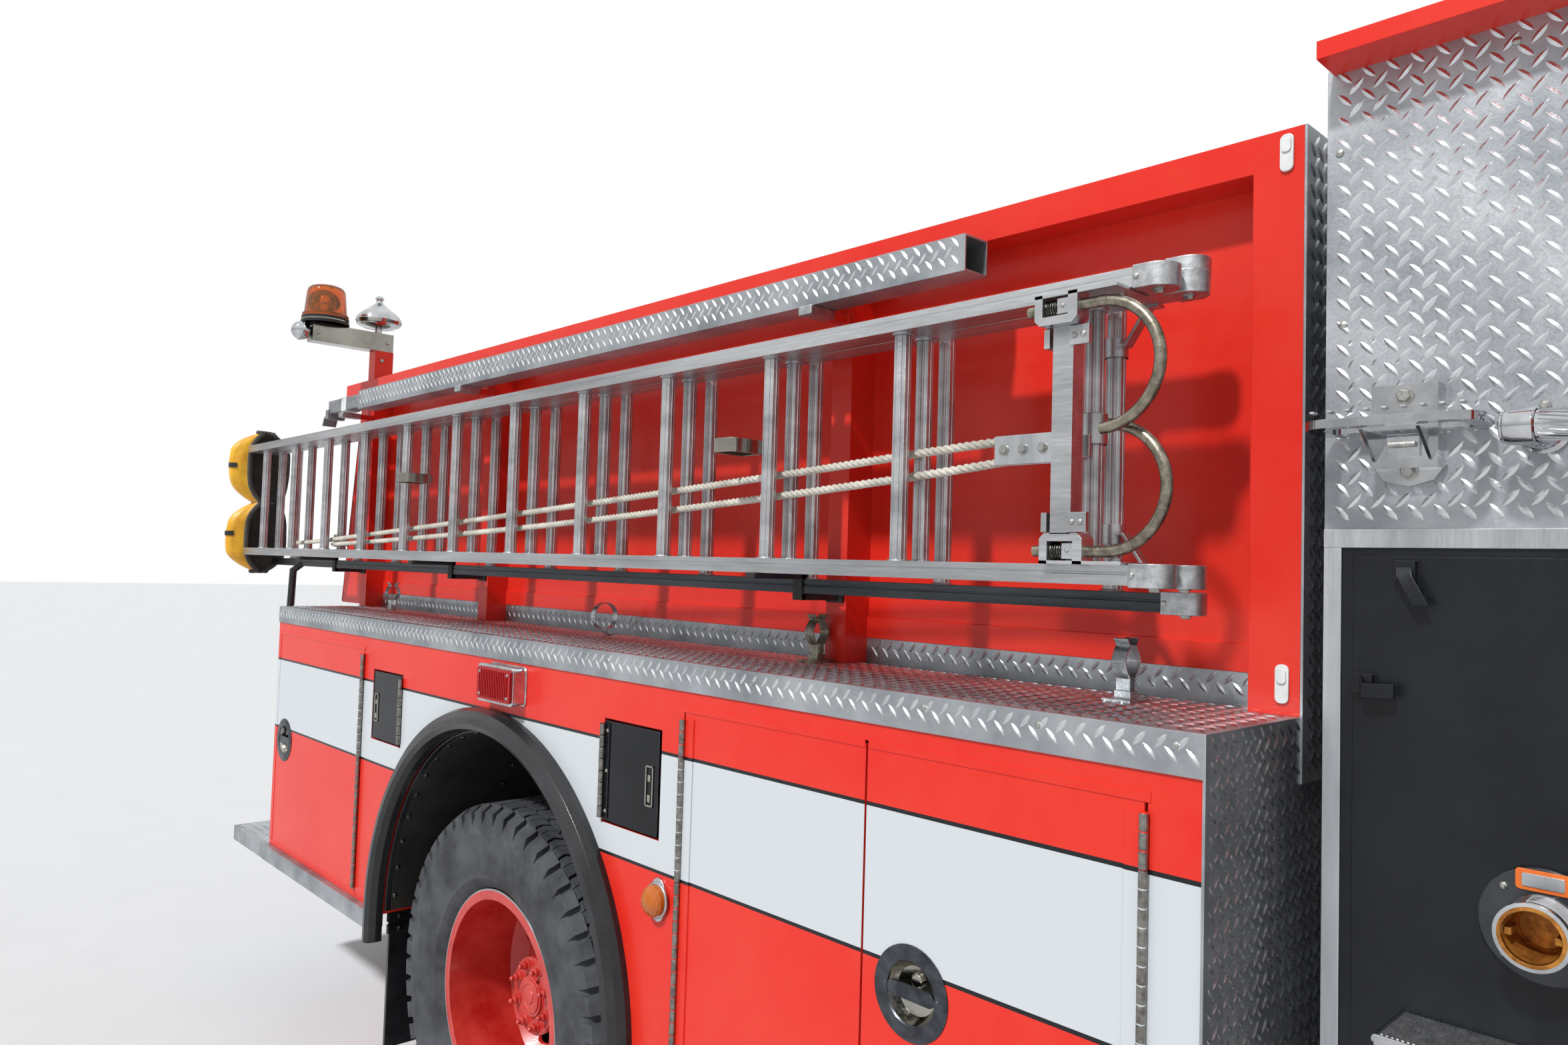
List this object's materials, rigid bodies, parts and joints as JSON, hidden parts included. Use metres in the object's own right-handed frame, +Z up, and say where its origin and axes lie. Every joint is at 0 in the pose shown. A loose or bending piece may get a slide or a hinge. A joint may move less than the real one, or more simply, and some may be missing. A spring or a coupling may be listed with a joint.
{
  "type": "fire engine",
  "caption": "Pumper fire engine: canopy cab, midship pump house, locker body with tread-plate decks, high hose-bed sides and ground ladders racked on the right.",
  "frame": {"origin": "centre of the vehicle's footprint on the ground", "axes": "+X forward, +Y to the vehicle's left, +Z up"},
  "size_m": [8.96, 2.98, 2.78],
  "materials": {
    "frame_paint": "satin black chassis paint",
    "engine_iron": "painted cast iron",
    "red_paint": "gloss bright red coach enamel",
    "tread_plate": "bright aluminium tread plate with raised bars",
    "black_paint": "satin black enamel",
    "bare_aluminium": "mill aluminium, dull from handling",
    "chrome_plate": "polished chrome plate",
    "hook_steel": "plated steel gone brassy",
    "tyre_rubber": "dusty tyre rubber",
    "rubber_trim": "black moulded rubber",
    "window_glass": "clear safety glass",
    "lamp_plastic": "clear-coloured lamp lenses, amber and red",
    "rope_fibre": "twisted white rope",
    "yellow_vinyl": "yellow coated cloth, grey inside",
    "seat_vinyl": "black seat vinyl",
    "dash_plastic": "black moulded plastic"
  },
  "bodies": {
    "chassis": {"chassis_frame": "frame_paint", "front_suspension": "frame_paint", "rear_suspension": "frame_paint", "propeller_shafts": "frame_paint", "engine_block": "engine_iron", "lower_body_right": "red_paint", "lower_body_left": "red_paint", "tread_plate_decks": "tread_plate", "hose_bed_sides": "red_paint", "hose_bed": "bare_aluminium", "tailboard": "tread_plate", "wheel_arch_rubber": "rubber_trim", "pump_house": "bare_aluminium", "pump_upper_panels": "tread_plate", "pump_panels": "black_paint", "pump": "engine_iron", "pump_outlets": "chrome_plate", "steps_and_rails": "chrome_plate", "cab_shell": "red_paint", "windscreen": "window_glass", "grille": "chrome_plate", "front_bumper": "chrome_plate", "light_bar": "lamp_plastic", "mirrors": "chrome_plate", "seats": "seat_vinyl", "dashboard": "dash_plastic", "roof_ladder": "bare_aluminium", "extension_ladder": "bare_aluminium", "ladder_rack": "red_paint", "pole_trough": "tread_plate", "lamp_arm": "hook_steel", "amber_beacon": "lamp_plastic", "halyard": "rope_fibre", "yellow_ladder_cover": "yellow_vinyl", "lamps": "lamp_plastic"},
    "knuckle_right": {"steering_knuckle_right": "frame_paint"},
    "front_wheel_right": {"front_rim_right": "red_paint", "front_tyre_right": "tyre_rubber"},
    "rear_wheels_right": {"rear_rims_right": "red_paint", "rear_tyres_right": "tyre_rubber"},
    "cab_door_right_leaf": {"cab_door_right": "red_paint", "cab_door_glass_right": "window_glass"},
    "locker_door_rear_right_leaf": {"locker_door_rear_right": "red_paint"},
    "locker_door_middle_right_leaf": {"locker_door_middle_right": "red_paint"},
    "locker_door_front_right_leaf": {"locker_door_front_right": "red_paint"},
    "knuckle_left": {"steering_knuckle_left": "frame_paint"},
    "front_wheel_left": {"front_rim_left": "red_paint", "front_tyre_left": "tyre_rubber"},
    "rear_wheels_left": {"rear_rims_left": "red_paint", "rear_tyres_left": "tyre_rubber"},
    "cab_door_left_leaf": {"cab_door_left": "red_paint", "cab_door_glass_left": "window_glass"},
    "locker_door_rear_left_leaf": {"locker_door_rear_left": "red_paint"},
    "locker_door_middle_left_leaf": {"locker_door_middle_left": "red_paint"},
    "locker_door_front_left_leaf": {"locker_door_front_left": "red_paint"},
    "hatch_rear_leaf": {"hatch_rear": "black_paint"},
    "hatch_front_leaf": {"hatch_front": "black_paint"},
    "rear_door_leaf": {"rear_locker_door": "tread_plate"},
    "hook_top": {"roof_hook_top": "hook_steel"},
    "hook_bottom": {"roof_hook_bottom": "hook_steel"}
  },
  "joints": [
    {"name": "steer_right", "type": "hinge", "parent": "chassis", "child": "knuckle_right", "pos_m": [2.752, -0.905, 0.525], "axis": [0, 0, 1], "range_deg": [-32, 32]},
    {"name": "front_wheel_right_spin", "type": "hinge", "parent": "knuckle_right", "child": "front_wheel_right", "pos_m": [2.752, -1.015, 0.525], "axis": [0, 1, 0], "continuous": true},
    {"name": "rear_wheels_right_spin", "type": "hinge", "parent": "chassis", "child": "rear_wheels_right", "pos_m": [-1.948, -1.059, 0.525], "axis": [0, 1, 0], "continuous": true},
    {"name": "cab_door_right_hinge", "type": "hinge", "parent": "chassis", "child": "cab_door_right_leaf", "pos_m": [4.01, -1.1965, 1.5], "axis": [0, 0, 1], "range_deg": [0, 75]},
    {"name": "locker_door_rear_right_hinge", "type": "hinge", "parent": "chassis", "child": "locker_door_rear_right_leaf", "pos_m": [-2.804, -1.2255, 1], "axis": [0, 0, 1], "range_deg": [0, 110]},
    {"name": "locker_door_middle_right_hinge", "type": "hinge", "parent": "chassis", "child": "locker_door_middle_right_leaf", "pos_m": [-1.112, -1.2255, 1], "axis": [0, 0, -1], "range_deg": [0, 110]},
    {"name": "locker_door_front_right_hinge", "type": "hinge", "parent": "chassis", "child": "locker_door_front_right_leaf", "pos_m": [-0.081, -1.2255, 1], "axis": [0, 0, 1], "range_deg": [0, 110]},
    {"name": "steer_left", "type": "hinge", "parent": "chassis", "child": "knuckle_left", "pos_m": [2.752, 0.905, 0.525], "axis": [0, 0, 1], "range_deg": [-32, 32]},
    {"name": "front_wheel_left_spin", "type": "hinge", "parent": "knuckle_left", "child": "front_wheel_left", "pos_m": [2.752, 1.015, 0.525], "axis": [0, 1, 0], "continuous": true},
    {"name": "rear_wheels_left_spin", "type": "hinge", "parent": "chassis", "child": "rear_wheels_left", "pos_m": [-1.948, 1.059, 0.525], "axis": [0, 1, 0], "continuous": true},
    {"name": "cab_door_left_hinge", "type": "hinge", "parent": "chassis", "child": "cab_door_left_leaf", "pos_m": [4.01, 1.1965, 1.5], "axis": [0, 0, -1], "range_deg": [0, 75]},
    {"name": "locker_door_rear_left_hinge", "type": "hinge", "parent": "chassis", "child": "locker_door_rear_left_leaf", "pos_m": [-2.804, 1.2255, 1], "axis": [0, 0, -1], "range_deg": [0, 110]},
    {"name": "locker_door_middle_left_hinge", "type": "hinge", "parent": "chassis", "child": "locker_door_middle_left_leaf", "pos_m": [-1.112, 1.2255, 1], "axis": [0, 0, 1], "range_deg": [0, 110]},
    {"name": "locker_door_front_left_hinge", "type": "hinge", "parent": "chassis", "child": "locker_door_front_left_leaf", "pos_m": [-0.081, 1.2255, 1], "axis": [0, 0, -1], "range_deg": [0, 110]},
    {"name": "hatch_rear_hinge", "type": "hinge", "parent": "chassis", "child": "hatch_rear_leaf", "pos_m": [-2.506, -1.2255, 1.241], "axis": [0, 0, 1], "range_deg": [0, 100]},
    {"name": "hatch_front_hinge", "type": "hinge", "parent": "chassis", "child": "hatch_front_leaf", "pos_m": [-1.406, -1.2255, 1.24], "axis": [0, 0, -1], "range_deg": [0, 100]},
    {"name": "rear_door_hinge", "type": "hinge", "parent": "chassis", "child": "rear_door_leaf", "pos_m": [-3.6395, 0, 1.4525], "axis": [0, 1, 0], "range_deg": [0, 85]},
    {"name": "hook_top_fold", "type": "hinge", "parent": "chassis", "child": "hook_top", "pos_m": [-0.25, -1.182, 2.125], "axis": [-1, 0, 0], "range_deg": [0, 90]},
    {"name": "hook_bottom_fold", "type": "hinge", "parent": "chassis", "child": "hook_bottom", "pos_m": [-0.25, -1.158, 1.75], "axis": [1, 0, 0], "range_deg": [0, 90]}
  ],
  "couplings": [
    {"joint": "steer_left", "follows": "steer_right", "ratio": 1}
  ]
}
